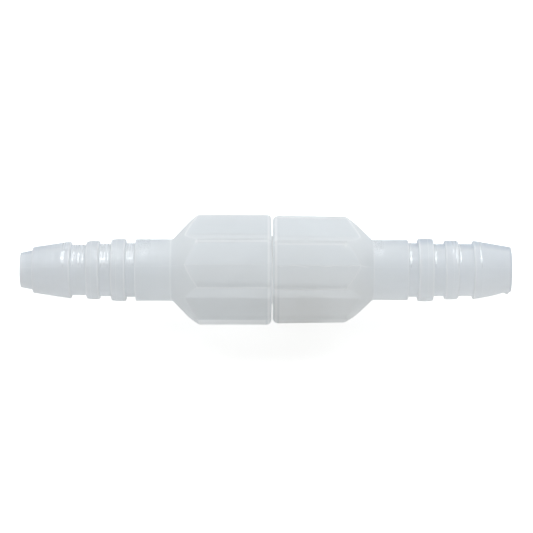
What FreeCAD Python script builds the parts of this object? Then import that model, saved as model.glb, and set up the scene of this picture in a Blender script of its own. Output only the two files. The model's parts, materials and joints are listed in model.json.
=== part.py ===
import FreeCAD, Part
import math
import os

from FreeCAD import Vector

# Oxygen swivel connector: two moulded halves, each a barbed tube end, a conical shoulder and a fluted grip
# collar. The spigot of the male half snaps into the socket of the female half, and the two turn freely
# about the gas way. Lengths are millimetres. X runs along the gas way with the male half on the negative
# side. Z is up, and the connector lies on two neighbouring ridges of its male collar.

# Joint between the halves
joint_gap = 0.16
gas_way_d = 3.0
gas_way_lip = 0.15
swivel_at_rest_deg = 1.7

# Spigot of the male half and the socket that it turns in
spigot_d = 8.9
spigot_length = 7.2
spigot_lead = 0.4
running_clearance = 0.05
socket_end_clearance = 0.35
socket_lead = 0.3

# Snap bead round the spigot, and the room that it has in its groove
bead_start = 1.7
bead_hold_width = 0.4
bead_crest_width = 0.5
bead_lead_width = 0.8
bead_height = 0.2
bead_clearance = 0.09

# Seal groove round the spigot, set back from the spigot's end, and the ring that fills it
seal_groove_setback = 1.25
seal_groove_width = 1.25
seal_groove_floor_d = 7.2
seal_clearance = 0.02

# Flutes of both collars: four wide ones and four narrower ones, each of two flat facets that meet in a
# valley, between rounded ridges
wide_flute_angle_deg = 47.6
ridge_round = 0.18
valley_round = 0.25
rim_sections = 6

# Collar and shoulder of the male half
male_collar_length = 9.55
male_crest_d = 15.05
male_flute_depth = 1.67
male_draft = 0.01
male_rim_round = 0.7
male_shoulder_length = 3.35
male_shoulder_round = 0.45

# Collar and shoulder of the female half
female_collar_length = 9.36
female_crest_d = 14.85
female_flute_depth = 1.72
female_draft = 0.13
female_rim_round = 0.78
female_shoulder_length = 3.66
female_shoulder_round = 0.2

# Barbed tube end of the male half, in order from the shoulder to the tip
male_stem_length = 4.82
male_stem_d = 8.07
male_neck_length = 1.26
male_neck_d = 7.05
male_stop_ridge_length = 1.91
male_stop_ridge_lead_d = 7.95
male_stop_ridge_d = 8.15
male_second_groove_length = 1.51
male_second_groove_d = 6.86
male_low_ridge_length = 1.72
male_low_ridge_lead_d = 7.45
male_low_ridge_d = 7.65
male_first_groove_length = 2.0
male_first_groove_d = 6.6
male_barb_length = 5.0
male_barb_root_d = 7.5
male_barb_tip_d = 6.0
nose_length = 1.6
nose_root_d = 5.2
nose_tip_d = 4.55
nose_tip_round = 0.25

# Barbed tube end of the female half, in order from the shoulder to the tip
female_stem_length = 4.62
female_stem_d = 7.87
female_neck_length = 1.28
female_neck_d = 7.05
female_stop_ridge_length = 2.0
female_stop_ridge_lead_d = 8.1
female_stop_ridge_d = 8.2
female_second_groove_length = 1.47
female_second_groove_d = 6.82
female_low_ridge_length = 1.78
female_low_ridge_lead_d = 7.6
female_low_ridge_d = 7.7
female_first_groove_length = 1.92
female_first_groove_d = 6.83
female_barb_length = 4.93
female_barb_root_d = 7.7
female_barb_tip_d = 6.0
female_tip_round = 0.2

# Softened edges of the stems, of the ridges, of the barbs' back edges and of the groove roots
stem_edge_round = 0.1
ridge_edge_round = 0.2
barb_edge_round = 0.25
root_round = 0.12
ridge_land_share = 0.6

# Sizes that follow from the ones above
gas_way_r = gas_way_d / 2
spigot_r = spigot_d / 2
socket_r = spigot_r + running_clearance
seal_groove_start = spigot_length - seal_groove_setback - seal_groove_width
socket_depth = spigot_length - joint_gap + socket_end_clearance
wide_half_angle = math.radians(wide_flute_angle_deg) / 2

# How far cutting shapes reach past what they cut, the share of an edge that a round may take, and what
# counts as no turn (radians) and as no edge
overrun = 1.0
most_of_edge = 0.45
no_turn = 1e-4
no_edge = 1e-6


class Corner:
    """One corner of a turned outline: distance along the gas way, radius, and the round on the corner."""

    def __init__(self, x, r, round_r=0.0):
        self.x = x
        self.r = r
        self.round_r = round_r

    def point(self):
        return Vector(self.x, 0, self.r)


def corner_arc(before, corner, after):
    """The arc that rounds a corner, or None for a sharp one. Its reach stops short of the next corners."""
    here = corner.point()
    back = before.point() - here
    ahead = after.point() - here
    turn = math.pi - back.getAngle(ahead)
    if corner.round_r <= 0 or turn < no_turn:
        return None
    room = most_of_edge * min(back.Length, ahead.Length)
    reach = min(corner.round_r * math.tan(turn / 2), room)
    radius = reach / math.tan(turn / 2)
    start = here + back.normalize() * reach
    end = here + ahead.normalize() * reach
    inward = ((start + end) / 2 - here).normalize()
    middle = here + inward * (radius / math.cos(turn / 2) - radius)
    return Part.Arc(start, middle, end).toShape()


def outline_wire(corners):
    """Closed wire through the corners, with an arc at every rounded one."""
    count = len(corners)
    arcs = [corner_arc(corners[i - 1], corners[i], corners[(i + 1) % count]) for i in range(count)]
    edges = []
    for i in range(count):
        following = (i + 1) % count
        start = arcs[i].lastVertex().Point if arcs[i] else corners[i].point()
        end = arcs[following].firstVertex().Point if arcs[following] else corners[following].point()
        if arcs[i]:
            edges.append(arcs[i])
        if start.distanceToPoint(end) > no_edge:
            edges.append(Part.LineSegment(start, end).toShape())
    return Part.Wire(edges)


def turned(corners):
    """Solid of revolution about the gas way."""
    face = Part.Face(outline_wire(corners))
    return face.revolve(Vector(0, 0, 0), Vector(1, 0, 0), 360)


def polar(x, r, angle):
    """Point at an angle measured from straight up, in the plane across the gas way at x."""
    return Vector(x, r * math.sin(angle), r * math.cos(angle))


def ridge_angles():
    """Directions of the eight ridges, a pair on each side of every wide flute."""
    angles = []
    for quarter in range(4):
        middle = quarter * math.pi / 2
        angles += [middle - wide_half_angle, middle + wide_half_angle]
    return angles


def facet_ends(x, tip_r, centre_r, start, half):
    """Ends of the facet that touches a ridge's round and the valley's round, half a flute further on."""
    ridge_centre = polar(x, tip_r, start)
    valley_centre = polar(x, centre_r, start + half)
    along = valley_centre - ridge_centre
    lean = math.asin((ridge_round + valley_round) / along.Length)
    along.normalize()
    outward = Vector(0, along.z, -along.y) if half < 0 else Vector(0, -along.z, along.y)
    normal = along * math.sin(lean) + outward * math.cos(lean)
    return ridge_centre + normal * ridge_round, valley_centre - normal * valley_round


def flute_section(x, crest_r, floor_r):
    """Cross-section of a collar at x: two facets to a flute, with small arcs on the ridges and in the valleys."""
    ridges = ridge_angles()
    count = len(ridges)
    tip_r = crest_r - ridge_round
    centre_r = floor_r + valley_round
    flutes = []
    for i in range(count):
        start = ridges[i]
        end = ridges[(i + 1) % count]
        half = ((end - start) % (2 * math.pi)) / 2
        first, valley_first = facet_ends(x, tip_r, centre_r, start, half)
        last, valley_last = facet_ends(x, tip_r, centre_r, start + 2 * half, -half)
        flutes.append((first, valley_first, polar(x, floor_r, start + half), valley_last, last))
    edges = []
    for i in range(count):
        first, valley_first, floor, valley_last, last = flutes[i]
        following = (i + 1) % count
        crest = polar(x, crest_r, ridges[following])
        edges.append(Part.LineSegment(first, valley_first).toShape())
        edges.append(Part.Arc(valley_first, floor, valley_last).toShape())
        edges.append(Part.LineSegment(valley_last, last).toShape())
        edges.append(Part.Arc(last, crest, flutes[following][0]).toShape())
    return Part.Wire(edges)


def fluted_bar(length, crest_r, flute_depth, draft, collar_length, rim_round):
    """Fluted bar with a rounded rim at x = 0. Its radius falls by the draft over the collar's length."""
    floor_r = crest_r - flute_depth
    rim = []
    for step in range(rim_sections + 1):
        angle = math.pi / 2 * step / rim_sections
        inset = rim_round * (1 - math.sin(angle))
        x = rim_round * (1 - math.cos(angle))
        rim.append(flute_section(x, crest_r - inset, floor_r - inset))
    fall = draft * (length - rim_round) / collar_length
    body = [
        flute_section(rim_round, crest_r, floor_r),
        flute_section(length, crest_r - fall, floor_r - fall),
    ]
    return Part.makeLoft(rim, True, False).fuse(Part.makeLoft(body, True, True))


def ridge(x, length, lead_r, crest_r):
    """Corners of a retaining ridge from its high joint side to its lower tip side, with a level land."""
    land = length * ridge_land_share
    return [
        Corner(x, crest_r, ridge_edge_round),
        Corner(x + land, crest_r, root_round),
        Corner(x + length, lead_r, ridge_edge_round),
    ]


def groove(x, length, radius):
    """Corners of a groove between ridges."""
    return [Corner(x, radius, root_round), Corner(x + length, radius, root_round)]


def shoulder(collar_length, crest_r, shoulder_length, stem_r, shoulder_round):
    """Corners from the axis, round the blank that the flutes are cut in, down the cone to the stem."""
    blank_r = crest_r + overrun
    cone_start = collar_length - overrun * shoulder_length / (crest_r - stem_r)
    return [
        Corner(-overrun, 0),
        Corner(-overrun, blank_r),
        Corner(cone_start, blank_r),
        Corner(collar_length + shoulder_length, stem_r, shoulder_round),
    ]


def male_tube_end():
    """Corners of the male stem, ridges, barb and nose, and the x of the tip."""
    x = male_collar_length + male_shoulder_length + male_stem_length
    corners = [Corner(x, male_stem_d / 2, stem_edge_round)]
    corners += groove(x, male_neck_length, male_neck_d / 2)
    x += male_neck_length
    corners += ridge(x, male_stop_ridge_length, male_stop_ridge_lead_d / 2, male_stop_ridge_d / 2)
    x += male_stop_ridge_length
    corners += groove(x, male_second_groove_length, male_second_groove_d / 2)
    x += male_second_groove_length
    corners += ridge(x, male_low_ridge_length, male_low_ridge_lead_d / 2, male_low_ridge_d / 2)
    x += male_low_ridge_length
    corners += groove(x, male_first_groove_length, male_first_groove_d / 2)
    x += male_first_groove_length
    corners.append(Corner(x, male_barb_root_d / 2, barb_edge_round))
    x += male_barb_length
    corners.append(Corner(x, male_barb_tip_d / 2, root_round))
    corners.append(Corner(x, nose_root_d / 2, root_round))
    x += nose_length
    corners.append(Corner(x, nose_tip_d / 2, nose_tip_round))
    corners.append(Corner(x, 0))
    return corners, x


def female_tube_end():
    """Corners of the female stem, ridges and barb, and the x of the tip."""
    x = female_collar_length + female_shoulder_length + female_stem_length
    corners = [Corner(x, female_stem_d / 2, stem_edge_round)]
    corners += groove(x, female_neck_length, female_neck_d / 2)
    x += female_neck_length
    corners += ridge(x, female_stop_ridge_length, female_stop_ridge_lead_d / 2, female_stop_ridge_d / 2)
    x += female_stop_ridge_length
    corners += groove(x, female_second_groove_length, female_second_groove_d / 2)
    x += female_second_groove_length
    corners += ridge(x, female_low_ridge_length, female_low_ridge_lead_d / 2, female_low_ridge_d / 2)
    x += female_low_ridge_length
    corners += groove(x, female_first_groove_length, female_first_groove_d / 2)
    x += female_first_groove_length
    corners.append(Corner(x, female_barb_root_d / 2, barb_edge_round))
    x += female_barb_length
    corners.append(Corner(x, female_barb_tip_d / 2, female_tip_round))
    corners.append(Corner(x, 0))
    return corners, x


def gas_way(start, end, tip):
    """Core that leaves the gas way from start to end, opened by a small lip at the tip."""
    return turned([
        Corner(start, 0),
        Corner(start, gas_way_r),
        Corner(tip - gas_way_lip, gas_way_r, gas_way_lip),
        Corner(tip, gas_way_r + gas_way_lip),
        Corner(end, gas_way_r + gas_way_lip),
        Corner(end, 0),
    ])


def bead(start, base_r, grow):
    """Corners of the snap bead, or of its groove when grown by a clearance: steep side, crest, lead-in."""
    top_r = spigot_r + bead_height + grow
    crest_start = start - grow + bead_hold_width
    crest_end = crest_start + bead_crest_width + 2 * grow
    return [
        Corner(start - grow, base_r),
        Corner(crest_start, top_r),
        Corner(crest_end, top_r),
        Corner(crest_end + bead_lead_width, base_r),
    ]


def spigot():
    """Spigot that enters the socket, with its snap bead and seal groove."""
    floor_r = seal_groove_floor_d / 2
    corners = [Corner(-overrun, 0), Corner(-overrun, spigot_r)]
    corners += bead(bead_start, spigot_r, 0)
    corners += [
        Corner(seal_groove_start, spigot_r),
        Corner(seal_groove_start, floor_r),
        Corner(seal_groove_start + seal_groove_width, floor_r),
        Corner(seal_groove_start + seal_groove_width, spigot_r),
        Corner(spigot_length - spigot_lead, spigot_r),
        Corner(spigot_length, spigot_r - spigot_lead),
        Corner(spigot_length, 0),
    ]
    return turned(corners)


def socket():
    """Core that leaves the socket, with a lead-in at its mouth and the groove for the snap bead."""
    corners = [
        Corner(-overrun, 0),
        Corner(-overrun, socket_r + socket_lead),
        Corner(0, socket_r + socket_lead),
        Corner(socket_lead, socket_r),
    ]
    corners += bead(bead_start - joint_gap, socket_r, bead_clearance)
    corners += [Corner(socket_depth, socket_r), Corner(socket_depth, 0)]
    return turned(corners)


def point_back(shape):
    """The shape turned half a turn about the vertical, so that what ran along +X runs along -X."""
    turned_shape = shape.copy()
    turned_shape.rotate(Vector(0, 0, 0), Vector(0, 0, 1), 180)
    return turned_shape


def male_half():
    """Male half with its joint face at x = 0, its spigot towards +X and its barbed end towards -X."""
    crest_r = male_crest_d / 2
    tube_end, tip = male_tube_end()
    corners = shoulder(male_collar_length, crest_r, male_shoulder_length, male_stem_d / 2, male_shoulder_round)
    bar = fluted_bar(
        tip + overrun, crest_r, male_flute_depth, male_draft, male_collar_length, male_rim_round
    )
    outside = point_back(turned(corners + tube_end).common(bar))
    way = point_back(gas_way(-spigot_length - overrun, tip + overrun, tip))
    return outside.fuse(spigot()).cut(way).removeSplitter(), tip


def female_half():
    """Female half with its joint face at x = 0 and its barbed end towards +X."""
    crest_r = female_crest_d / 2
    tube_end, tip = female_tube_end()
    corners = shoulder(
        female_collar_length, crest_r, female_shoulder_length, female_stem_d / 2, female_shoulder_round
    )
    bar = fluted_bar(
        tip + overrun, crest_r, female_flute_depth, female_draft, female_collar_length, female_rim_round
    )
    outside = turned(corners + tube_end).common(bar)
    way = gas_way(0, tip + overrun, tip)
    return outside.cut(socket()).cut(way).removeSplitter(), tip


def seal_ring():
    """Seal ring in its groove, a little clear of the groove floor and of the socket wall."""
    floor_r = seal_groove_floor_d / 2
    section_r = (socket_r - floor_r) / 2 - seal_clearance
    middle = Vector(seal_groove_start + seal_groove_width / 2, 0, 0)
    return Part.makeTorus((socket_r + floor_r) / 2, section_r, middle, Vector(1, 0, 0))


def reach_down(crest_r, turn_deg):
    """Distance from the gas way down to the lowest ridge of a collar turned by an angle."""
    lowest = wide_half_angle - math.radians(abs(turn_deg))
    return (crest_r - ridge_round) * math.cos(lowest) + ridge_round


def connector():
    """Every piece by name, placed with the middle of the connector over the origin and resting on Z = 0."""
    male, male_tip = male_half()
    female, female_tip = female_half()
    seal = seal_ring()
    female.rotate(Vector(0, 0, 0), Vector(1, 0, 0), swivel_at_rest_deg)
    axis_height = max(reach_down(male_crest_d / 2, 0), reach_down(female_crest_d / 2, swivel_at_rest_deg))
    middle_x = (male_tip - female_tip) / 2
    male.translate(Vector(middle_x - joint_gap / 2, 0, axis_height))
    seal.translate(Vector(middle_x - joint_gap / 2, 0, axis_height))
    female.translate(Vector(middle_x + joint_gap / 2, 0, axis_height))
    print(f"axis height {axis_height:.3f}, joint at x {middle_x:.3f}")
    return {"male_half": male, "female_half": female, "seal_ring": seal}


def write_parts(pieces):
    """One STEP file for each piece."""
    os.makedirs("parts", exist_ok=True)
    for name, shape in pieces.items():
        box = shape.BoundBox
        print(f"{name}: solids {len(shape.Solids)}, valid {shape.isValid()}, volume {shape.Volume:.2f},"
              f" x {box.XMin:.2f} to {box.XMax:.2f}, z {box.ZMin:.3f} to {box.ZMax:.3f}")
        shape.exportStep(f"parts/{name}.step")


write_parts(connector())
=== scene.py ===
import json
import math

import bpy
import numpy as np
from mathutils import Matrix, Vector


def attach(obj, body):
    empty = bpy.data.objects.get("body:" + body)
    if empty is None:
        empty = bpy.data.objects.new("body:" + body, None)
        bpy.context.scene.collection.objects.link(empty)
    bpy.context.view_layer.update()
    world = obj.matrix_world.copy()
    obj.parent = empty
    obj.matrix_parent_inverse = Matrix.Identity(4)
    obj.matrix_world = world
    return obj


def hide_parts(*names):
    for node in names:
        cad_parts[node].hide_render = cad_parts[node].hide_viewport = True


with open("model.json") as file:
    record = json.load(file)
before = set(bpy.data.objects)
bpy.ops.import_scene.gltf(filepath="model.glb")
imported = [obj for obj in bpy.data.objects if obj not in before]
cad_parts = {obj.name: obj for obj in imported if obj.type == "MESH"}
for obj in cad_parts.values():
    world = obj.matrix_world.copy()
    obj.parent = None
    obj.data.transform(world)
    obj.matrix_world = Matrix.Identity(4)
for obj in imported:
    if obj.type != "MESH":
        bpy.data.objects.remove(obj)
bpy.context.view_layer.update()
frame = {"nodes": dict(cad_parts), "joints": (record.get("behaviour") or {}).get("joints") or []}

# Sizes are millimetres until a mesh is made. Distances along a half run from its joint face to its tip.
MM = 0.001
joint_gap = 0.16
gas_way_r = 1.5
gas_way_lip = 0.15

# Flutes of both collars, and the soft crease where a flute runs out on the shoulder
wide_flute_angle_deg = 47.6
ridge_round = 0.18
valley_round = 0.25
crease_round = 0.14
swivel_at_rest_deg = 1.7

# Softened edges of the stems, ridges and barbs
stem_edge_round = 0.1
ridge_edge_round = 0.2
barb_edge_round = 0.25
root_round = 0.12
ridge_land_share = 0.6

# Spigot, snap bead and seal groove of the male half, and the socket round them
spigot_r = 4.45
spigot_length = 7.2
spigot_lead = 0.4
seal_groove_start = 4.7
seal_groove_width = 1.25
seal_groove_floor_r = 3.6
socket_r = 4.5
socket_depth = 7.39
socket_lead = 0.3
bead_start = 1.7
bead_hold_width = 0.4
bead_crest_width = 0.5
bead_lead_width = 0.8
bead_height = 0.2
bead_clearance = 0.09

# Flash of the mould: the parting line along both halves and a small burr at the female tip
parting_height = 0.022
parting_width = 0.05
burr_height = 0.5
burr_angle_deg = -95
burr_spread_deg = 3.4
burr_from_tip = 0.26
burr_length = 0.14

# The female tip is a little flatter on its near side
tip_hollow = 0.22
tip_hollow_length = 2.4

# Places round the gas way are given by far_side: -1 on the near side, 0 on top and below, 1 on the far side.
# A pair (start, span) says where a share begins to rise from 0, and over how much it rises to 1.

# Painted light, as shares of the lit colour: painted highlights beside the crests of the ridges, in the
# creases on the shoulders, on the rims at the joint face, painted light below the near side, on rounded
# corners and in the glossy bands.
# crease_glow gives it as (far_side, share), and the creases are wider from far_crease_side on.
ridge_glow = 0.7
ridge_glow_width = 0.08
ridge_bend_width = 0.3
crease_glow = ((-0.5, 0.4), (-0.35, 1), (-0.02, 1), (0.05, 0.3), (0.5, 0.3), (0.65, 1))
crease_glow_width = 0.05
crease_glow_past_flutes = 0.2
far_crease_side = (0.65, 0.1)
far_crease_widening = 1.5
rim_glow = 0.9
rim_glow_at_deg = 62
rim_glow_spread_deg = 12
underside_glow = 0.9
underside_fade = 0.1
corner_glow = 0.4
band_glow = 0.12
glossy_from = 0.6

# Painted highlight at the bright corner of the upper ridge: its size, and its place round the gas way
corner_spot_size = 0.2
corner_spot_side = 0.4
corner_spot_side_spread = 0.2

# Where the far rim's painted shade and the flecks begin, and the share of gloss on top and its rise with
# far_side
shade_side = (0.7, 0.2)
speckle_side = (0.3, 0.1)
gloss_on_top = 0.4
gloss_rise = 2.5

# Reach of the tip's painted shade counted from the tip, share and reach along x of the tip's painted light,
# and painted light in the gas way as (depth, share)
tip_shade_reach = (-0.3, 0.15)
tip_painted_lift = 0.22
tip_painted_lift_between = (18, 26)
gas_way_light = ((0, 0.4), (5, 1.0))

# How fast looks give way: the collar's below its crest, the tube end's and the polish's along x
collar_fade = 0.1
tube_end_fade = 2
stem_polish_fade = 0.4
land_polish_fade = 0.1

# Marks of the mould: shut-off lines, slight rings, and waves as (turns round the half, length along it)
ring_line_width = 0.07
ring_line_height = 0.01
ring_width = 0.12
wave_height = 0.012
wave_patterns = ((2, 21.0), (3, 9.0), (5, 13.0), (7, 5.5), (11, 3.9), (4, 30.0))

# Finish of the halves, along x from the joint face:
# polish: polish left by the mould on the stem, on the lands of the ridges and the barb, and in the grooves
# gloss: glossy bands round a tube end, as (middle, half width, polish)
# speckle: bands with small glossy flecks, as (middle, half width, strength)
# lines: fine shut-off lines of the mould, as (place, strength), the strength also setting their painted light
# line
# rings: slight rings left by the mould, as (place, height)
# clear: how clear the plastic is, as (place, clearness), for thin walls let more light through
# shade: painted shade, how much darker and bluer the far rim is painted, as (place, shade)
# tip_shade: the same painted shade all round the end of the tip
# parting: strength of the parting line on the collar and on the tube end, and of the painted light along its
# flash
# wander: how far the parting line wanders on the collar
# pale: painted light that makes the plastic paler on the collar, on the collar's near side and on the tube
# end's
# ridge: how far the painted light line and the dark line of a ridge lie to one side of its crest
# spot: place of the painted highlight at the bright corner on the upper ridge, along x and to one side of the
# crest
# seed: start of the random draws for the waves, and shift of the parting line's unevenness
male_finish = {
    "polish": (0.42, 0.58, 0.5),
    "gloss": (
        (27.1, 0.28, 1.6), (25.72, 0.32, 1.5), (25.05, 0.1, 2.2), (24.52, 0.13, 2.0), (22.13, 0.13, 2.2),
        (21.72, 0.2, 1.2), (21.22, 0.09, 2.2), (18.75, 0.13, 1.5), (18.38, 0.1, 1.4), (18.0, 0.1, 1.3),
    ),
    "speckle": ((16.5, 1.3, 0.75),),
    "lines": ((13.1, 0.6),),
    "rings": (),
    "clear": ((0, 0.0), (11, 0.1), (14, 0.3), (24, 0.7), (26, 1.0), (32, 1.0)),
    "shade": ((13, 0.0), (14, 0.4), (26, 0.45), (31, 0.8)), "tip_shade": 0.0,
    "parting": (0.3, 0.25), "wander": 0.0, "pale": (0.08, 0.1, 0.15),
    "ridge": (-0.13, 0.14), "spot": (9.62, -0.12), "seed": 3,
}
female_finish = {
    "polish": (0.2, 0.4, 0.4),
    "gloss": (
        (17.92, 0.16, 2.2), (21.13, 0.14, 2.2), (24.36, 0.12, 2.2),
        (23.39, 0.12, 1.3), (23.87, 0.12, 1.3), (26.98, 0.13, 2.2),
    ),
    "speckle": ((13.75, 0.8, 1.0),),
    "lines": ((13.1, 0.4),),
    "rings": ((27.08, 0.024),),
    "clear": ((0, 0.05), (10, 0.1), (14, 0.4), (24, 0.7), (26, 0.9), (32, 1.0)),
    "shade": ((12, 0.0), (14, 0.4), (17, 0.45), (19, 0.95), (32, 0.9)), "tip_shade": 0.8,
    "parting": (1.0, 0.2), "wander": 0.06, "pale": (0.15, 0.55, 0.45),
    "ridge": (-0.22, 0.09), "spot": (9.36, -0.28), "seed": 8,
}

male_sizes = {
    "collar_length": 9.55, "crest_d": 15.05, "flute_depth": 1.67, "draft": 0.01, "rim_round": 0.7,
    "shoulder_length": 3.35, "shoulder_round": 0.45,
    "stem_length": 4.82, "stem_d": 8.07, "neck_length": 1.26, "neck_d": 7.05,
    "stop_ridge_length": 1.91, "stop_ridge_lead_d": 7.95, "stop_ridge_d": 8.15,
    "second_groove_length": 1.51, "second_groove_d": 6.86,
    "low_ridge_length": 1.72, "low_ridge_lead_d": 7.45, "low_ridge_d": 7.65,
    "first_groove_length": 2.0, "first_groove_d": 6.6,
    "barb_length": 5.0, "barb_root_d": 7.5, "barb_tip_d": 6.0,
    "nose_length": 1.6, "nose_root_d": 5.2, "nose_tip_d": 4.55, "tip_round": 0.25,
}
female_sizes = {
    "collar_length": 9.36, "crest_d": 14.85, "flute_depth": 1.72, "draft": 0.13, "rim_round": 0.78,
    "shoulder_length": 3.66, "shoulder_round": 0.2,
    "stem_length": 4.62, "stem_d": 7.87, "neck_length": 1.28, "neck_d": 7.05,
    "stop_ridge_length": 2.0, "stop_ridge_lead_d": 8.1, "stop_ridge_d": 8.2,
    "second_groove_length": 1.47, "second_groove_d": 6.82,
    "low_ridge_length": 1.78, "low_ridge_lead_d": 7.6, "low_ridge_d": 7.7,
    "first_groove_length": 1.92, "first_groove_d": 6.83,
    "barb_length": 4.93, "barb_root_d": 7.7, "barb_tip_d": 6.0,
    "nose_length": 0, "tip_round": 0.2,
}

# Fineness of the skins
steps_per_flute = 30
ridge_crowding = 0.78
parting_steps_deg = (-1.3, -0.7, -0.35, 0.35, 0.7, 1.3)
rim_steps = 8
collar_rings = 14
arc_steps = 4
arc_reach_share = 0.45
fine_step = 0.065
plain_step = 0.55
edge_step = 0.06
least_step = 0.01
face_shares = (0.08, 0.5, 0.92)
band_steps = (-1.2, -0.7, 0, 0.7, 1.2)
line_steps = (-2, -1, 0, 1, 2)

# Rings of the collar: the first past the rim, the last plain one before the cone, and the fine ones' reach
first_past_rim = 0.12
last_before_cone = 0.3
fine_before_cone = 0.2
fine_past_flutes = 0.3

# The blank that the flutes are cut from: how far it stands proud, starts past the rim and has fine steps
blank_margin = 2
blank_past_rim = 0.1
blank_fine_before_cone = 0.25

# Masks that the skins carry for their material
mask_names = ("polish", "edge", "inside", "clear", "shade", "speckle", "crest")

# Colours that the plastic scatters back: its milk with little and with much clouding, painted light at edges,
# painted shade on the far rim and painted light inside
milk_colours = ((0.714, 0.738, 0.756, 1), (0.754, 0.776, 0.793, 1))
lit_edge_colour = (0.96, 0.975, 0.985, 1)
shade_colour = (0.543, 0.59, 0.643, 1)
inside_painted_light_colour = (0.97, 0.97, 0.97, 1)

# Colours that it lets through: where it is thick and where it is thin, in painted shade, and with painted
# light at edges and inside
through_colours = ((0.9, 0.917, 0.93, 1), (0.832, 0.85, 0.876, 1))
through_shade_colour = (0.632, 0.68, 0.745, 1)
through_painted_light_colour = (0.99, 0.99, 0.99, 1)

# Share of light let through where it is thick, where it is thin and inside
through_shares = (0.68, 0.72)
through_share_inside = 0.93

# How round the normals are taken, for scattered and for passing light, and how much more so at the crests
body_roundness = (1.1, 1.5)
through_roundness = (0.1, 1.1)

# Skin: roughness where matt and where polished, and the least share of polish that dull stripes leave
skin_roughness = (0.5, 0.07)
striped_share = 0.4

silicone_colours = ((0.74, 0.75, 0.74, 1), (0.81, 0.82, 0.81, 1))

# Level and tint of the surround on the near side and on the far side of the connector, where level 1 is white
near_side_level = 1.015
far_side_level = 0.62
near_side_tint = (1.0, 0.988, 0.945, 1)
far_side_tint = (0.96, 0.985, 1.0, 1)
tint_reach = 0.8
overhead_share = 0.42
overhead_start = 0.2
darkest_direction = (0, -0.12, 0.993)

# Softboxes on the far side: name, width and height in metres, elevation in degrees, power in watts
softbox_distance = 0.6
softbox_colour = (0.94, 0.975, 1.0)
softboxes = (("key_softbox", 0.6, 0.48, 30, 2.3), ("fill_softbox", 0.8, 0.3, 56, 1.68))

floor_size = 3.0
floor_colour = (0.88, 0.88, 0.88, 1)
floor_lift = 0.5

joint = frame["joints"][0]
joint_x = joint["pos_m"][0] / MM
axis_height = joint["pos_m"][2] / MM


def around_angles():
    """Angles round the gas way from straight up, close together at the ridges and at the parting lines."""
    half = math.radians(wide_flute_angle_deg) / 2
    ridges = []
    for quarter in range(4):
        ridges += [quarter * math.pi / 2 - half, quarter * math.pi / 2 + half]
    ridges.append(ridges[0] + 2 * math.pi)
    angles = []
    for start, end in zip(ridges, ridges[1:]):
        share = np.arange(steps_per_flute) / steps_per_flute
        eased = share - ridge_crowding * np.sin(2 * math.pi * share) / (2 * math.pi)
        angles += list(start + (end - start) * eased)
    for middle in (0, math.pi):
        angles += [middle + math.radians(step) for step in parting_steps_deg]
    return np.sort(np.unique(np.round(angles, 9)))


def across_flutes():
    """Half the width of the flute at every angle, and how far the angle lies past that flute's middle."""
    wide = math.radians(wide_flute_angle_deg)
    turned = np.mod(theta + wide / 2, math.pi / 2)
    in_wide = turned < wide
    half = np.where(in_wide, wide, math.pi / 2 - wide) / 2
    return half, np.where(in_wide, turned - wide / 2, turned - wide - half)


# Angles run from straight up towards the far side, which is against the joint's own sense
theta = around_angles()
flute_half, past_middle = across_flutes()
far_side = np.sin(theta)
nearness = np.clip(-far_side, 0, 1)


def rising(value, start, span):
    """Share that is 0 up to a start and rises from there to 1 over a span."""
    return np.clip((value - start) / span, 0, 1)


def level_at(points, x):
    """Level at x between points given as (place, level)."""
    return np.interp(x, *zip(*points))


def fluted_radius(crest_r, floor_r):
    """Radius of a collar at every angle: two facets to a flute, with small arcs on ridges and in valleys."""
    off_middle = np.abs(past_middle)
    off_ridge = flute_half - off_middle
    tip_r = crest_r - ridge_round
    centre_r = floor_r + valley_round
    along_x = centre_r * np.cos(flute_half) - tip_r
    along_y = centre_r * np.sin(flute_half)
    length = np.hypot(along_x, along_y)
    lift = np.arcsin((ridge_round + valley_round) / length)
    normal_angle = np.arctan2(along_y, along_x) - math.pi / 2 + lift
    facet_off_centre = tip_r * np.cos(normal_angle) + ridge_round
    facet = facet_off_centre / np.cos(off_ridge - normal_angle)
    ridge_end = np.arctan2(ridge_round * np.sin(normal_angle), tip_r + ridge_round * np.cos(normal_angle))
    ridge_inside = np.maximum(ridge_round**2 - (tip_r * np.sin(off_ridge))**2, 0)
    ridge_arc = tip_r * np.cos(off_ridge) + np.sqrt(ridge_inside)
    lean = flute_half - normal_angle
    valley_end = np.arctan2(-valley_round * np.sin(lean), centre_r - valley_round * np.cos(lean))
    valley_inside = np.maximum(valley_round**2 - (centre_r * np.sin(off_middle))**2, 0)
    valley_arc = centre_r * np.cos(off_middle) - np.sqrt(valley_inside)
    radius = np.where(off_ridge < ridge_end, ridge_arc, facet)
    return np.where(off_middle < np.abs(valley_end), valley_arc, radius)


def soft_least(a, b, blend):
    """The lesser of two radii, eased into each other over a small blend."""
    near = np.maximum(blend - np.abs(a - b), 0) / blend
    return np.minimum(a, b) - near**2 * blend / 4


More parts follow.
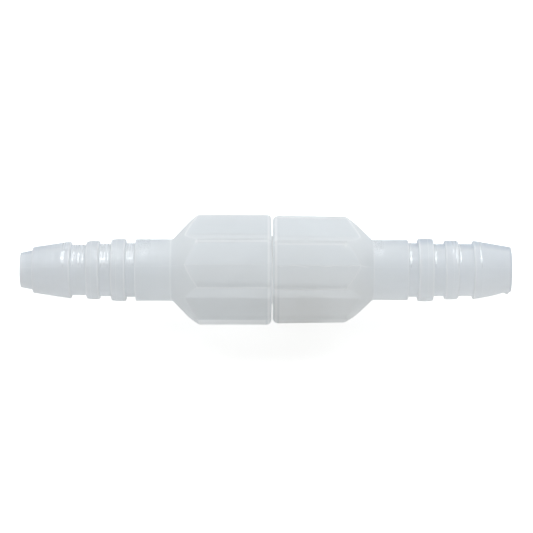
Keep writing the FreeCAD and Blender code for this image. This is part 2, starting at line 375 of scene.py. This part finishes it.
def rounded(corners):
    """Outline points (distance, radius, 1 on an outward arc) from corners, with arcs at the rounded ones."""
    points = []
    for i, (x, r, radius) in enumerate(corners):
        here = np.array([x, r], float)
        if radius <= 0 or i in (0, len(corners) - 1):
            points.append([np.append(here, 0.0)])
            continue
        back = np.array(corners[i - 1][:2]) - here
        ahead = np.array(corners[i + 1][:2]) - here
        back_length, ahead_length = np.linalg.norm(back), np.linalg.norm(ahead)
        back, ahead = back / back_length, ahead / ahead_length
        outward = float(back[0] * ahead[1] - back[1] * ahead[0] > 0)
        turn = math.pi - math.acos(np.clip(back @ ahead, -1, 1))
        longest = arc_reach_share * min(back_length, ahead_length)
        reach = min(radius * math.tan(turn / 2), longest)
        arc_r = reach / math.tan(turn / 2)
        to_centre = (back + ahead) / np.linalg.norm(back + ahead)
        centre = here + to_centre * arc_r / math.cos(turn / 2)
        first, last = here + back * reach - centre, here + ahead * reach - centre
        arc = []
        for step in range(arc_steps + 1):
            share = step / arc_steps
            spread = math.sin(turn)
            weight_first = math.sin((1 - share) * turn) / spread
            weight_last = math.sin(share * turn) / spread
            arc.append(np.append(centre + weight_first * first + weight_last * last, outward))
        points.append(arc)
    return points


def stations(corners, fine_from=0.0, fine_to=0.0):
    """Rings' places along an outline: its arcs, and steps between them, with one close to each end."""
    groups = rounded(corners)
    placed = []
    for group, following in zip(groups, groups[1:] + [None]):
        placed += group
        if following is None:
            break
        start, end = group[-1] * (1, 1, 0), following[0] * (1, 1, 0)
        length = np.linalg.norm(end - start)
        if length < 3 * edge_step:
            continue
        along = edge_step
        while along < length - edge_step * 0.5:
            placed.append(start + (end - start) * along / length)
            fine = fine_from < placed[-1][0] < fine_to
            step = fine_step if fine else plain_step
            along = min(along + step, max(length - edge_step, along + edge_step))
    return np.array(placed)


def ridge(x, length, lead_r, crest_r):
    """Corners of a retaining ridge, with a level land towards the joint."""
    land = length * ridge_land_share
    return [
        (x, crest_r, ridge_edge_round),
        (x + land, crest_r, root_round),
        (x + length, lead_r, ridge_edge_round),
    ]


def tube_end(size):
    """Corners from the shoulder's cone to the tip: stem, neck, two ridges with grooves, barb and nose."""
    x = size["collar_length"] + size["shoulder_length"]
    corners = [(x, size["stem_d"] / 2, size["shoulder_round"])]
    x += size["stem_length"]
    corners.append((x, size["stem_d"] / 2, stem_edge_round))
    for gap, crest in (("neck", "stop_ridge"), ("second_groove", "low_ridge"), ("first_groove", "barb")):
        gap_r = size[gap + "_d"] / 2
        corners += [(x, gap_r, root_round), (x + size[gap + "_length"], gap_r, root_round)]
        x += size[gap + "_length"]
        if crest == "barb":
            corners.append((x, size["barb_root_d"] / 2, barb_edge_round))
        else:
            corners += ridge(x, size[crest + "_length"], size[crest + "_lead_d"] / 2, size[crest + "_d"] / 2)
        x += size[crest + "_length"]
    if size["nose_length"]:
        corners += [(x, size["barb_tip_d"] / 2, root_round), (x, size["nose_root_d"] / 2, root_round)]
        x += size["nose_length"]
        corners.append((x, size["nose_tip_d"] / 2, size["tip_round"]))
    else:
        corners.append((x, size["barb_tip_d"] / 2, size["tip_round"]))
    return corners, x


def with_rings_at(outline, places):
    """The outline with further points at the given distances, on the stretches between its own points."""
    merged = [tuple(outline[0])]
    for start, end in zip(outline, outline[1:]):
        for x in sorted(places):
            if start[0] + least_step < x < end[0] - least_step:
                share = (x - start[0]) / (end[0] - start[0])
                merged.append((x, start[1] + (end[1] - start[1]) * share, 0.0))
        merged.append(tuple(end))
    return merged


def in_bands(bands, x):
    """How strongly a ring lies in bands round the half, given as (middle, half width, strength)."""
    return max(strength * math.exp(-((x - middle) / half_width)**4) for middle, half_width, strength in bands)


def polished_at(size, finish, x):
    """How glossy a ring is: not at all on the collar, somewhat on stem and tube end, most in its bands."""
    stem_polish, land_polish, groove_polish = finish["polish"]
    stem_start = size["collar_length"] + size["shoulder_length"]
    start = stem_start + size["stem_length"]
    levels = (
        (stem_start, 0), (stem_start + stem_polish_fade, stem_polish),
        (start, stem_polish), (start + land_polish_fade, land_polish),
    )
    polish = level_at(levels, x)
    for gap, crest in (("neck", "stop_ridge"), ("second_groove", "low_ridge"), ("first_groove", "barb")):
        end = start + size[gap + "_length"]
        if start < x < end:
            polish = groove_polish
        start = end + size[crest + "_length"]
    gloss = in_bands(finish["gloss"], x) * np.clip(gloss_on_top + gloss_rise * far_side, 0, 1)
    return np.maximum(polish, gloss)


def bead(start, base_r, grow):
    """Corners of the snap bead, or of its groove when grown by a clearance: steep side, crest, lead-in."""
    top_r = spigot_r + bead_height + grow
    crest_start = start - grow + bead_hold_width
    crest_end = crest_start + bead_crest_width + 2 * grow
    return [
        (start - grow, base_r, 0),
        (crest_start, top_r, root_round),
        (crest_end, top_r, root_round),
        (crest_end + bead_lead_width, base_r, 0),
    ]


def spigot():
    """Corners inside the male half: along the gas way, round the spigot's end, back to the joint face."""
    outward = [(0, spigot_r, 0)] + bead(bead_start, spigot_r, 0) + [
        (seal_groove_start, spigot_r, 0),
        (seal_groove_start, seal_groove_floor_r, 0),
        (seal_groove_start + seal_groove_width, seal_groove_floor_r, 0),
        (seal_groove_start + seal_groove_width, spigot_r, 0),
        (spigot_length - spigot_lead, spigot_r, root_round),
        (spigot_length, spigot_r - spigot_lead, root_round),
        (spigot_length, gas_way_r, 0),
    ]
    return [(-x, r, radius) for x, r, radius in reversed(outward)]


def socket():
    """Corners inside the female half's loop: up the socket's end and along its wall to the joint face."""
    outward = [(0, socket_r + socket_lead, 0), (socket_lead, socket_r, root_round)]
    outward += bead(bead_start - joint_gap, socket_r, bead_clearance)
    outward += [(socket_depth, socket_r, root_round), (socket_depth, gas_way_r, 0)]
    return list(reversed(outward))


def mould_waves(x, seed):
    """Slight waves left by the mould and by shrinking plastic, between 0 and 1, for a ring at x."""
    shift = np.random.default_rng(seed).uniform(0, 2 * math.pi, len(wave_patterns))
    waves = np.zeros_like(theta)
    for i, (turns, length) in enumerate(wave_patterns):
        waves += np.sin(turns * theta + shift[i] + 2 * math.pi * x / length) / (i + 2)
    return 0.5 + 0.3 * waves


def parting_line(x, radius, wander, seed):
    """Height of the parting line's flash at a ring, a little uneven along the half, where it may wander."""
    aside = wander * (math.sin(x * 2.3 + seed) + 0.6 * math.sin(x * 5.7))
    from_line = np.abs(far_side * radius - aside)
    uneven = 0.75 + 0.2 * math.sin(x * 1.7 + seed) + 0.15 * math.sin(x * 4.1 + 2 * seed)
    return parting_height * uneven * np.exp(-(from_line / parting_width)**2)


def tip_burr(x, tip):
    """Height of the small burr near the female tip."""
    off_burr = np.degrees(theta) - math.degrees(math.radians(burr_angle_deg) % (2 * math.pi))
    reach = np.exp(-(off_burr / burr_spread_deg)**2 - ((x - tip + burr_from_tip) / burr_length)**2)
    return burr_height * reach


def near_ridge(radius, width, aside):
    """1 along a line a little to one side of each crest, falling away on both sides over a width."""
    past_crest = (np.abs(past_middle) - flute_half) * np.sign(past_middle)
    return np.exp(-((past_crest * radius - aside) / width)**2)


def crease_light(r, flutes):
    """Painted highlight in the creases of a ring, where the shoulder's cone of radius r meets the flutes."""
    width = crease_glow_width * (1 + far_crease_widening * rising(far_side, *far_crease_side))
    return level_at(crease_glow, far_side) * np.exp(-((r - flutes) / width)**2)


def bright_corner(finish, x, flutes):
    """Painted highlight in a ring where the upper ridge of the far side meets the shoulder."""
    at, aside = finish["spot"]
    spot = near_ridge(flutes, corner_spot_size, aside) * math.exp(-((x - at) / corner_spot_size)**2)
    round_it = np.exp(-((far_side - corner_spot_side) / corner_spot_side_spread)**2)
    return spot * round_it * (np.cos(theta) > 0)


def painted_light_lift(finish, x, on_end):
    """Share of painted light that makes a ring paler than its milk: on the collar, the near sides and the
    tip.
    """
    pale, near_painted_lift, end_painted_lift = finish["pale"]
    pale = pale * (1 - on_end) + np.interp(on_end, (0, 1), (near_painted_lift, end_painted_lift)) * nearness
    towards_tip = np.interp(x, tip_painted_lift_between, (0, 1))
    return pale + tip_painted_lift * towards_tip * np.clip(1 - 2 * far_side, 0, 1)


def outer_places(size, finish, end_corners, slope, flute_end):
    """Rings outside before the flutes are cut, as (distance, radius, 1 on a rounded corner)."""
    crest_r = size["crest_d"] / 2
    cone_x = size["collar_length"]
    blank = crest_r + blank_margin
    fine_end = flute_end + fine_past_flutes
    blank_start = size["rim_round"] + blank_past_rim
    corners = [(blank_start, blank, 0), (cone_x - blank_margin / slope, blank, 0)] + end_corners
    outline = stations(corners, cone_x - blank_fine_before_cone, fine_end)
    collar_x = np.linspace(size["rim_round"] + first_past_rim, cone_x - last_before_cone, collar_rings)
    fine_x = np.arange(cone_x - fine_before_cone, fine_end, fine_step)
    cone = [(x, crest_r - (x - cone_x) * slope, 0.0) for x in [*collar_x, *fine_x]]
    marks = []
    for middle, half_width, _ in finish["gloss"]:
        marks += [middle + half_width * step for step in band_steps]
    for at, _ in finish["lines"] + finish["rings"]:
        marks += [at + ring_line_width * step for step in line_steps]
    return cone + with_rings_at(outline[outline[:, 0] > fine_x[-1] + 0.5 * fine_step], marks)


def moulded_half(name, size, finish, inside, towards, face_x, turn_deg):
    """Closed skin of one half: from the joint face over collar and tube end, and back by the gas way."""
    crest_r = size["crest_d"] / 2
    floor_r = crest_r - size["flute_depth"]
    slope = (crest_r - size["stem_d"] / 2) / size["shoulder_length"]
    flute_end = size["collar_length"] + size["flute_depth"] / slope
    end_corners, tip = tube_end(size)
    light_aside, dark_aside = finish["ridge"]
    across = math.radians(turn_deg) + theta
    rings = []
    masks = {mask_name: [] for mask_name in mask_names}

    def place(x, radius, polish=0.0, edge=0.0, inside=0.0, speckle=0.0, crest=0.0):
        rings.append(np.stack([
            np.full_like(theta, face_x + towards * x),
            radius * np.sin(across),
            axis_height + radius * np.cos(across),
        ], 1))
        clear = level_at(finish["clear"], x)
        # Painted shade: the far rim and the end of the tip are painted darker and bluer
        far_shade = level_at(finish["shade"], x) * rising(far_side, *shade_side)
        shade = np.maximum(far_shade, finish["tip_shade"] * rising(x - tip, *tip_shade_reach))
        for mask, value in zip(masks.values(), (polish, edge, inside, clear, shade, speckle, crest)):
            mask.append(np.zeros_like(theta) + value)

    for step in range(rim_steps + 1):
        angle = math.pi / 2 * step / rim_steps
        inset = size["rim_round"] * (1 - math.sin(angle))
        x = size["rim_round"] * (1 - math.cos(angle))
        radius = fluted_radius(crest_r - inset, floor_r - inset)
        # Painted highlights on the rim's rounding and beside the crests
        on_rim = rim_glow * math.exp(-((math.degrees(angle) - rim_glow_at_deg) / rim_glow_spread_deg)**2)
        on_ridge = ridge_glow * near_ridge(radius, ridge_glow_width, light_aside) * math.sin(angle)
        crest = near_ridge(radius, ridge_bend_width, dark_aside) * math.sin(angle)
        place(x, radius, edge=np.maximum(on_ridge, on_rim), crest=crest)

    for x, r, corner in outer_places(size, finish, end_corners, slope, flute_end):
        fall = size["draft"] * (x - size["rim_round"]) / size["collar_length"]
        flutes = fluted_radius(crest_r - fall, floor_r - fall)
        on_collar = np.clip((r - crest_r + fall) / collar_fade + 1, 0, 1)
        on_end = rising(x, flute_end, tube_end_fade)
        radius = soft_least(np.full_like(theta, r), flutes, crease_round)
        radius = radius - wave_height * mould_waves(x, finish["seed"])
        parting = np.interp(on_end, (0, 1), finish["parting"])
        flash = parting * parting_line(x, radius, finish["wander"] * (1 - on_end), finish["seed"])
        radius = radius + flash
        polish = polished_at(size, finish, x)
        # Painted light in this ring: highlights beside the crests, in the creases, below the near side, at
        # the bright corner, along the parting line's flash, on rounded corners, in glossy bands and on
        # shut-off lines
        lights = [
            ridge_glow * near_ridge(flutes, ridge_glow_width, light_aside) * on_collar,
            crease_light(r, flutes) * (x < flute_end + crease_glow_past_flutes),
            underside_glow * rising(-np.cos(theta), 0, underside_fade) * (far_side < 0) * on_collar,
            bright_corner(finish, x, flutes),
            flash / parting_height,
            corner_glow * corner,
            band_glow * (polish > glossy_from),
        ]
        for at, height in finish["rings"]:
            radius = radius + height * math.exp(-((x - at) / ring_width)**2)
        for at, strength in finish["lines"]:
            on_line = strength * math.exp(-((x - at) / ring_line_width)**2)
            radius = radius + ring_line_height * on_line
            lights.append(on_line)
        if size["nose_length"] == 0:
            radius = radius + tip_burr(x, tip)
            at_tip = rising(x - tip, -tip_hollow_length, tip_hollow_length)
            radius = radius - tip_hollow * nearness**2 * at_tip
        glow = np.zeros_like(theta)
        for light in lights:
            glow = np.maximum(glow, light)
        # Painted light that makes the collar, the near sides and the tip paler, beneath the painted
        # highlights
        pale = painted_light_lift(finish, x, on_end)
        glow = pale + (1 - pale) * glow
        crest = near_ridge(flutes, ridge_bend_width, dark_aside) * on_collar
        speckle = in_bands(finish["speckle"], x) * rising(far_side, *speckle_side)
        place(x, radius, polish, glow, speckle=speckle, crest=crest)

    way = [
        (tip, end_corners[-1][1], 0),
        (tip, gas_way_r + gas_way_lip, 0),
        (tip - gas_way_lip, gas_way_r, gas_way_lip),
    ]
    # Painted light: the gas way's walls are painted paler deeper in, and the joint face near white
    for x, r, _ in stations(way + inside)[1:]:
        place(x, np.full_like(theta, r), inside=level_at(gas_way_light, tip - x))
    last = fluted_radius(crest_r - size["rim_round"], floor_r - size["rim_round"])
    root = np.hypot(rings[-1][:, 1], rings[-1][:, 2] - axis_height)
    for share in face_shares:
        place(0, root + (last - root) * share, inside=1.0)
    return closed_skin(name, np.array(rings), masks, towards > 0)


def closed_skin(name, rings, masks, flip):
    """Mesh through rings of points that is closed round each ring and from the last ring to the first."""
    count, around = rings.shape[:2]
    index = np.arange(count * around).reshape(count, around)
    ahead = np.roll(index, -1, 0)
    quads = np.stack([index, np.roll(index, -1, 1), np.roll(ahead, -1, 1), ahead], 2).reshape(-1, 4)
    if flip:
        quads = quads[:, ::-1]
    mesh = bpy.data.meshes.new(name)
    mesh.from_pydata((rings.reshape(-1, 3) * MM).tolist(), [], quads.tolist())
    for mask_name, values in masks.items():
        mask = mesh.attributes.new(mask_name, "FLOAT", "POINT")
        mask.data.foreach_set("value", np.concatenate(values).astype(np.float32))
    mesh.shade_smooth()
    piece = bpy.data.objects.new(name, mesh)
    bpy.context.scene.collection.objects.link(piece)
    return piece


def feed(tree, socket, value):
    """Give a socket its value, or link another socket to it."""
    if isinstance(value, bpy.types.NodeSocket):
        tree.links.new(value, socket)
    elif value is not None:
        socket.default_value = value


def add_node(tree, kind, **inputs):
    """New node in a tree. Inputs are given by name, as values or as sockets to link."""
    node = tree.nodes.new(kind)
    for name, value in inputs.items():
        feed(tree, node.inputs[name.replace("_", " ")], value)
    return node


def place_group(tree, group, **inputs):
    """A group placed in a material, with its inputs given by name as values or as sockets to link."""
    node = tree.nodes.new("ShaderNodeGroup")
    node.node_tree = group
    for name, value in inputs.items():
        feed(tree, node.inputs[name.replace("_", " ")], value)
    return node


def math_node(tree, operation, first, second=None):
    """Result of a Math node. The inputs are values or sockets to link."""
    node = tree.nodes.new("ShaderNodeMath")
    node.operation = operation
    feed(tree, node.inputs[0], first)
    feed(tree, node.inputs[1], second)
    return node.outputs[0]


def vector_node(tree, operation, first, second=None):
    """Result of a Vector Math node. The inputs are vectors or sockets to link."""
    node = tree.nodes.new("ShaderNodeVectorMath")
    node.operation = operation
    feed(tree, node.inputs[0], first)
    feed(tree, node.inputs[1], second)
    return node.outputs["Value" if operation == "DOT_PRODUCT" else "Vector"]


def map_range(tree, value, from_min, from_max, to_min=0.0, to_max=1.0):
    """Result of a Map Range node, eased at both ends."""
    node = add_node(
        tree, "ShaderNodeMapRange", Value=value,
        From_Min=from_min, From_Max=from_max, To_Min=to_min, To_Max=to_max,
    )
    node.interpolation_type = "SMOOTHSTEP"
    return node.outputs["Result"]


def colour_mix(tree, share, first, second):
    """Colour between two colours or colour sockets."""
    node = tree.nodes.new("ShaderNodeMix")
    node.data_type = "RGBA"
    for socket, value in ((node.inputs["Factor"], share), (node.inputs[6], first), (node.inputs[7], second)):
        feed(tree, socket, value)
    return node.outputs[2]


def shader_mix(tree, share, first, second):
    """Shader between two shaders."""
    node = add_node(tree, "ShaderNodeMixShader", Fac=share)
    tree.links.new(first, node.inputs[1])
    tree.links.new(second, node.inputs[2])
    return node.outputs["Shader"]


def new_group(name, inputs, outputs):
    """Empty shader node group with named sockets, and its input and output nodes."""
    group = bpy.data.node_groups.new(name, "ShaderNodeTree")
    for socket_name, kind, value in inputs:
        socket = group.interface.new_socket(socket_name, in_out="INPUT", socket_type=kind)
        socket.default_value = value
    for socket_name, kind in outputs:
        group.interface.new_socket(socket_name, in_out="OUTPUT", socket_type=kind)
    return group, group.nodes.new("NodeGroupInput"), group.nodes.new("NodeGroupOutput")


def round_form_group():
    """Normal turned towards straight out from the gas way, as deep scattering evens out small facets."""
    group, inside, outside = new_group(
        "round_form", [("Share", "NodeSocketFloat", 0.7)], [("Normal", "NodeSocketVector")]
    )
    place = group.nodes.new("ShaderNodeTexCoord").outputs["Object"]
    centred = vector_node(group, "SUBTRACT", place, (0, 0, axis_height * MM))
    across = vector_node(group, "MULTIPLY", centred, (0, 1, 1))
    turned = add_node(group, "ShaderNodeVectorTransform", Vector=vector_node(group, "NORMALIZE", across))
    turned.vector_type = "VECTOR"
    turned.convert_from = "OBJECT"
    turned.convert_to = "WORLD"
    radial = turned.outputs["Vector"]
    true = group.nodes.new("ShaderNodeNewGeometry").outputs["Normal"]
    outward = map_range(group, vector_node(group, "DOT_PRODUCT", true, radial), 0.1, 0.6)
    share = math_node(group, "MULTIPLY", outward, inside.outputs["Share"])
    mixed = group.nodes.new("ShaderNodeMix")
    mixed.data_type = "VECTOR"
    mixed.clamp_factor = False
    group.links.new(share, mixed.inputs["Factor"])
    group.links.new(true, mixed.inputs[4])
    group.links.new(radial, mixed.inputs[5])
    group.links.new(vector_node(group, "NORMALIZE", mixed.outputs[1]), outside.inputs["Normal"])
    return group


def moulded_surface_group():
    """What the mould leaves: height of grain and flow marks, clouding, glossy flecks, and stripes round x."""
    group, inside, outside = new_group(
        "moulded_surface",
        [("Grain size mm", "NodeSocketFloat", 0.25), ("Flow", "NodeSocketFloat", 0.5)],
        [(name, "NodeSocketFloat") for name in ("Height", "Clouding", "Flecks", "Dull stripes")],
    )
    from_object = group.nodes.new("ShaderNodeTexCoord").outputs["Object"]
    place = vector_node(group, "MULTIPLY", from_object, (1 / MM, 1 / MM, 1 / MM))
    grain_scale = math_node(group, "DIVIDE", 1.0, inside.outputs["Grain size mm"])
    grain = add_node(group, "ShaderNodeTexNoise", Vector=place, Scale=grain_scale, Detail=3.0, Roughness=0.6)
    along = vector_node(group, "MULTIPLY", place, (0.12, 1.6, 1.6))
    flow = add_node(group, "ShaderNodeTexNoise", Vector=along, Scale=1.3, Detail=4.0, Roughness=0.55)
    flow_height = math_node(group, "MULTIPLY", flow.outputs["Fac"], inside.outputs["Flow"])
    height = math_node(group, "ADD", math_node(group, "MULTIPLY", grain.outputs["Fac"], 0.4), flow_height)
    group.links.new(height, outside.inputs["Height"])
    cloud = add_node(group, "ShaderNodeTexNoise", Vector=place, Scale=0.16, Detail=3.0, Roughness=0.5)
    streaks = math_node(group, "MULTIPLY", flow.outputs["Fac"], 0.35)
    clouding = math_node(group, "ADD", math_node(group, "MULTIPLY", cloud.outputs["Fac"], 0.65), streaks)
    group.links.new(map_range(group, clouding, 0.3, 0.7), outside.inputs["Clouding"])
    fleck = add_node(group, "ShaderNodeTexNoise", Vector=place, Scale=3.0, Detail=1.0, Distortion=2.0)
    group.links.new(map_range(group, fleck.outputs["Fac"], 0.51, 0.56), outside.inputs["Flecks"])
    around = vector_node(group, "MULTIPLY", place, (6.5, 0.3, 0.3))
    stripe = add_node(group, "ShaderNodeTexNoise", Vector=around, Scale=1.0, Detail=2.0)
    dull = map_range(group, stripe.outputs["Fac"], 0.54, 0.46, 0.0, 0.9)
    group.links.new(dull, outside.inputs["Dull stripes"])
    return group


def milky_plastic(surface_group):
    """Milky plastic that lets light through: soft inside, matt on the lands, glossy where it was polished;
    painted light and painted shade in its colours.
    """
    material = bpy.data.materials.new("milky_plastic")
    material.use_nodes = True
    tree = material.node_tree
    tree.nodes.clear()
    surface = place_group(tree, surface_group, Grain_size_mm=0.22, Flow=0.5)
    masks = {}
    for mask_name in mask_names:
        attribute = tree.nodes.new("ShaderNodeAttribute")
        attribute.attribute_name = mask_name
        masks[mask_name] = attribute.outputs["Fac"]
    form_group = round_form_group()
    forms = []
    for roundness, more_at_crests in (body_roundness, through_roundness):
        more = math_node(tree, "MULTIPLY", masks["crest"], more_at_crests)
        form = place_group(tree, form_group, Share=math_node(tree, "ADD", more, roundness))
        forms.append(form.outputs["Normal"])
    body_form, through_form = forms

    clouded = colour_mix(tree, surface.outputs["Clouding"], *milk_colours)
    # Painted light: colour lifted towards the lit colour at ridges, creases, rims, corners, bands, the near
    # sides and the collar
    with_edges = colour_mix(tree, masks["edge"], clouded, lit_edge_colour)
    # Painted shade on the far rim and at the tip's end
    with_shade = colour_mix(tree, masks["shade"], with_edges, shade_colour)
    body_grain = add_node(
        tree, "ShaderNodeBump",
        Height=surface.outputs["Height"], Strength=0.06, Distance=0.1 * MM, Normal=body_form,
    )
    # The inner walls and the joint face get a near white colour: painted light
    body = add_node(
        tree, "ShaderNodeBsdfPrincipled",
        Base_Color=colour_mix(tree, masks["inside"], with_shade, inside_painted_light_colour),
        Normal=body_grain.outputs["Normal"], Roughness=0.5, IOR=1.49,
        Subsurface_Weight=1.0, Subsurface_Radius=(1.0, 1.0, 1.0), Subsurface_Scale=0.0015,
    )

    # Painted light inside and at edges also lifts the light let through
    bright = math_node(tree, "MAXIMUM", masks["inside"], masks["edge"])
    by_thickness = colour_mix(tree, masks["clear"], *through_colours)
    # Painted shade in the light let through, on the far rim and at the tip's end
    through_painted_shade = colour_mix(tree, masks["shade"], by_thickness, through_shade_colour)
    passed = colour_mix(tree, bright, through_painted_shade, through_painted_light_colour)
    through = add_node(tree, "ShaderNodeBsdfTranslucent", Color=passed, Normal=through_form)
    let_through = map_range(tree, masks["clear"], 0.0, 1.0, *through_shares)
    inner = math_node(tree, "MULTIPLY", masks["inside"], through_share_inside)
    milk_share = math_node(tree, "MAXIMUM", let_through, inner)
    milk = shader_mix(tree, milk_share, body.outputs["BSDF"], through.outputs["BSDF"])

    dulled = math_node(tree, "SUBTRACT", masks["polish"], surface.outputs["Dull stripes"])
    striped = math_node(tree, "MAXIMUM", dulled, math_node(tree, "MULTIPLY", masks["polish"], striped_share))
    flecks = math_node(tree, "MULTIPLY", masks["speckle"], surface.outputs["Flecks"])
    smooth = math_node(tree, "MAXIMUM", striped, flecks)
    skin_grain = add_node(
        tree, "ShaderNodeBump", Height=surface.outputs["Height"], Strength=0.12, Distance=0.1 * MM
    ).outputs["Normal"]
    gloss = add_node(
        tree, "ShaderNodeBsdfAnisotropic", Color=(1, 1, 1, 1), Normal=skin_grain,
        Roughness=map_range(tree, smooth, 0.35, 0.8, *skin_roughness),
    )
    fresnel = add_node(tree, "ShaderNodeFresnel", IOR=1.52, Normal=skin_grain).outputs["Fac"]
    land_shine = math_node(tree, "MULTIPLY", fresnel, map_range(tree, smooth, 0.0, 1.0, 0.3, 0.8))
    sheen = math_node(tree, "ADD", land_shine, map_range(tree, smooth, 0.2, 0.5, 0.0, 0.03))
    shine = math_node(tree, "ADD", sheen, map_range(tree, smooth, 0.5, 0.9, 0.0, 0.05))
    skin = shader_mix(tree, shine, milk, gloss.outputs["BSDF"])
    output = tree.nodes.new("ShaderNodeOutputMaterial")
    tree.links.new(skin, output.inputs["Surface"])
    return material


def seal_silicone(surface_group):
    """Pale silicone rubber of the seal ring."""
    material = bpy.data.materials.new("seal_silicone")
    material.use_nodes = True
    tree = material.node_tree
    surface = place_group(tree, surface_group, Grain_size_mm=0.12, Flow=0.2)
    clouding = surface.outputs["Clouding"]
    grain = add_node(
        tree, "ShaderNodeBump", Height=surface.outputs["Height"], Strength=0.1, Distance=0.05 * MM
    )
    shader = tree.nodes["Principled BSDF"]
    tree.links.new(colour_mix(tree, clouding, *silicone_colours), shader.inputs["Base Color"])
    tree.links.new(map_range(tree, clouding, 0.0, 1.0, 0.38, 0.5), shader.inputs["Roughness"])
    tree.links.new(grain.outputs["Normal"], shader.inputs["Normal"])
    shader.inputs["Subsurface Weight"].default_value = 0.4
    shader.inputs["Subsurface Scale"].default_value = 0.0005
    return material


def studio_floor():
    """Plain pale floor: white to the camera, with the connector's soft shadow kept."""
    bpy.ops.mesh.primitive_plane_add(size=floor_size)
    floor = bpy.context.object
    floor.name = "floor"
    material = bpy.data.materials.new("pale_floor")
    material.use_nodes = True
    tree = material.node_tree
    shader = tree.nodes["Principled BSDF"]
    shader.inputs["Base Color"].default_value = floor_colour
    shader.inputs["Roughness"].default_value = 0.7
    shader.inputs["Specular IOR Level"].default_value = 0.2
    shader.inputs["Emission Color"].default_value = (1, 1, 1, 1)
    path = tree.nodes.new("ShaderNodeLightPath")
    lift = math_node(tree, "MULTIPLY", path.outputs["Is Camera Ray"], floor_lift)
    tree.links.new(lift, shader.inputs["Emission Strength"])
    floor.data.materials.append(material)


def softbox(name, width, height, elevation_deg, power):
    """Softbox on the far side, facing the connector."""
    lamp = bpy.data.lights.new(name, "AREA")
    lamp.shape = "RECTANGLE"
    lamp.size = width
    lamp.size_y = height
    lamp.energy = power
    lamp.color = softbox_colour
    holder = bpy.data.objects.new(name, lamp)
    bpy.context.scene.collection.objects.link(holder)
    elevation = math.radians(elevation_deg)
    holder.location = softbox_distance * Vector((0, math.cos(elevation), math.sin(elevation)))
    holder.rotation_euler = (-Vector(holder.location)).to_track_quat("-Z", "Y").to_euler()


def studio_light():
    """Two softboxes beyond the connector, and a white surround that is darker overhead."""
    world = bpy.data.worlds.new("studio")
    bpy.context.scene.world = world
    world.use_nodes = True
    tree = world.node_tree
    background = tree.nodes["Background"]
    direction = tree.nodes.new("ShaderNodeTexCoord").outputs["Generated"]
    beyond = add_node(tree, "ShaderNodeSeparateXYZ", Vector=direction).outputs["Y"]
    level = map_range(tree, beyond, -1, 1, near_side_level, far_side_level)
    overhead = vector_node(tree, "DOT_PRODUCT", direction, darkest_direction)
    dimmed = map_range(tree, overhead, overhead_start, 1.0, 1.0, overhead_share)
    tree.links.new(math_node(tree, "MULTIPLY", level, dimmed), background.inputs["Strength"])
    side = map_range(tree, beyond, -tint_reach, tint_reach)
    tree.links.new(colour_mix(tree, side, near_side_tint, far_side_tint), background.inputs["Color"])
    for box in softboxes:
        softbox(*box)


def photograph_camera():
    """Camera at the photograph's angle: from above, tipped a little towards the near side."""
    sensor_mm = 36
    image_px = 533
    focal_px = 2218
    distance = 0.290
    elevation = math.radians(83)
    aim_aside = 0.117
    aim_upwards = 0.45
    middle = Vector((aim_aside * MM, 0, axis_height * MM))
    aim = middle + aim_upwards * MM * Vector((0, math.sin(elevation), math.cos(elevation)))
    data = bpy.data.cameras.new("camera")
    data.sensor_width = sensor_mm
    data.lens = focal_px / image_px * sensor_mm
    camera = bpy.data.objects.new("camera", data)
    bpy.context.scene.collection.objects.link(camera)
    away = Vector((0, -math.cos(elevation), math.sin(elevation)))
    camera.location = aim + away * distance
    camera.rotation_euler = (-away).to_track_quat("-Z", "Y").to_euler()
    bpy.context.scene.camera = camera


photograph_camera()
studio_floor()
studio_light()

surface_group = moulded_surface_group()
plastic = milky_plastic(surface_group)
male = moulded_half("male_shell", male_sizes, male_finish, spigot(), -1, joint_x - joint_gap / 2, 0.0)
female = moulded_half(
    "female_shell", female_sizes, female_finish, socket(), 1, joint_x + joint_gap / 2, -swivel_at_rest_deg
)
for piece, body, node in ((male, "left_body", "male_half"), (female, "right_body", "female_half")):
    piece.data.materials.append(plastic)
    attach(piece, body)
    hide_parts(node)

silicone = seal_silicone(surface_group)
for material_slot in frame["nodes"]["seal_ring"].material_slots:
    material_slot.material = silicone

bpy.context.scene.view_settings.view_transform = "Standard"
